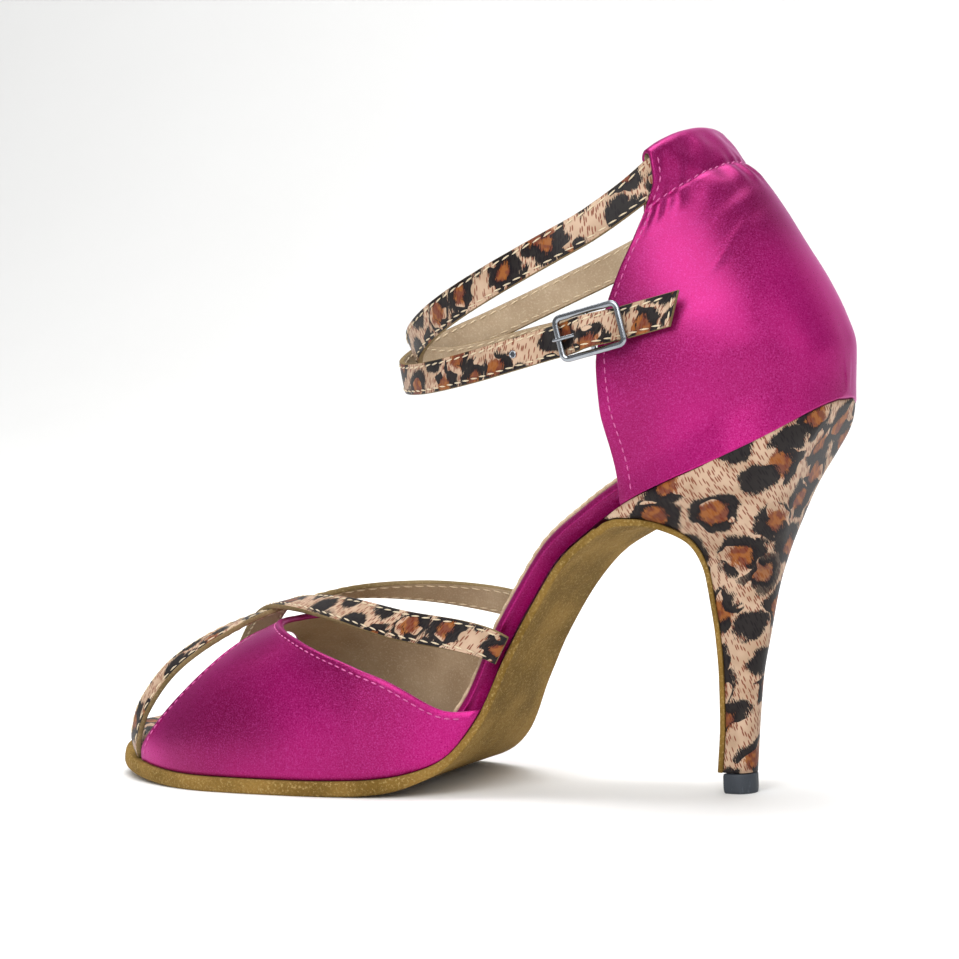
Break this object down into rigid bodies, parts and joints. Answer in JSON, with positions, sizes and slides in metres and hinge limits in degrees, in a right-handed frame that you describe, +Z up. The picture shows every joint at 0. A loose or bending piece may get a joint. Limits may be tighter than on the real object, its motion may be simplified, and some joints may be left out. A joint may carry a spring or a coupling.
{
  "type": "ballroom dance sandal",
  "caption": "High-heeled open-toe dance sandal with a closed heel, crossed forefoot straps, a buckled ankle strap and a slim heel.",
  "frame": {"origin": "on the floor, under the middle of the shoe's bounding box", "axes": "-X towards the toe, -Y towards the outer side with the buckle, +Z up from the floor"},
  "size_m": [0.2146, 0.0804, 0.1669],
  "materials": {
    "satin": "magenta satin, soft sheen",
    "leopard_satin": "satin printed with a leopard pattern",
    "sole_suede": "napped suede",
    "sock_suede": "fine beige suede",
    "tip_rubber": "dark matt rubber",
    "buckle_metal": "polished metal"
  },
  "bodies": {
    "root": {"outsole": "sole_suede", "insole": "satin", "sock": "sock_suede", "heel": "leopard_satin", "heel_tip": "tip_rubber", "vamp": "satin", "vamp_straps": "leopard_satin", "counter": "satin", "ankle_strap": "leopard_satin", "buckle_tab": "leopard_satin", "buckle_frame": "buckle_metal", "buckle_prong": "buckle_metal"}
  },
  "joints": []
}
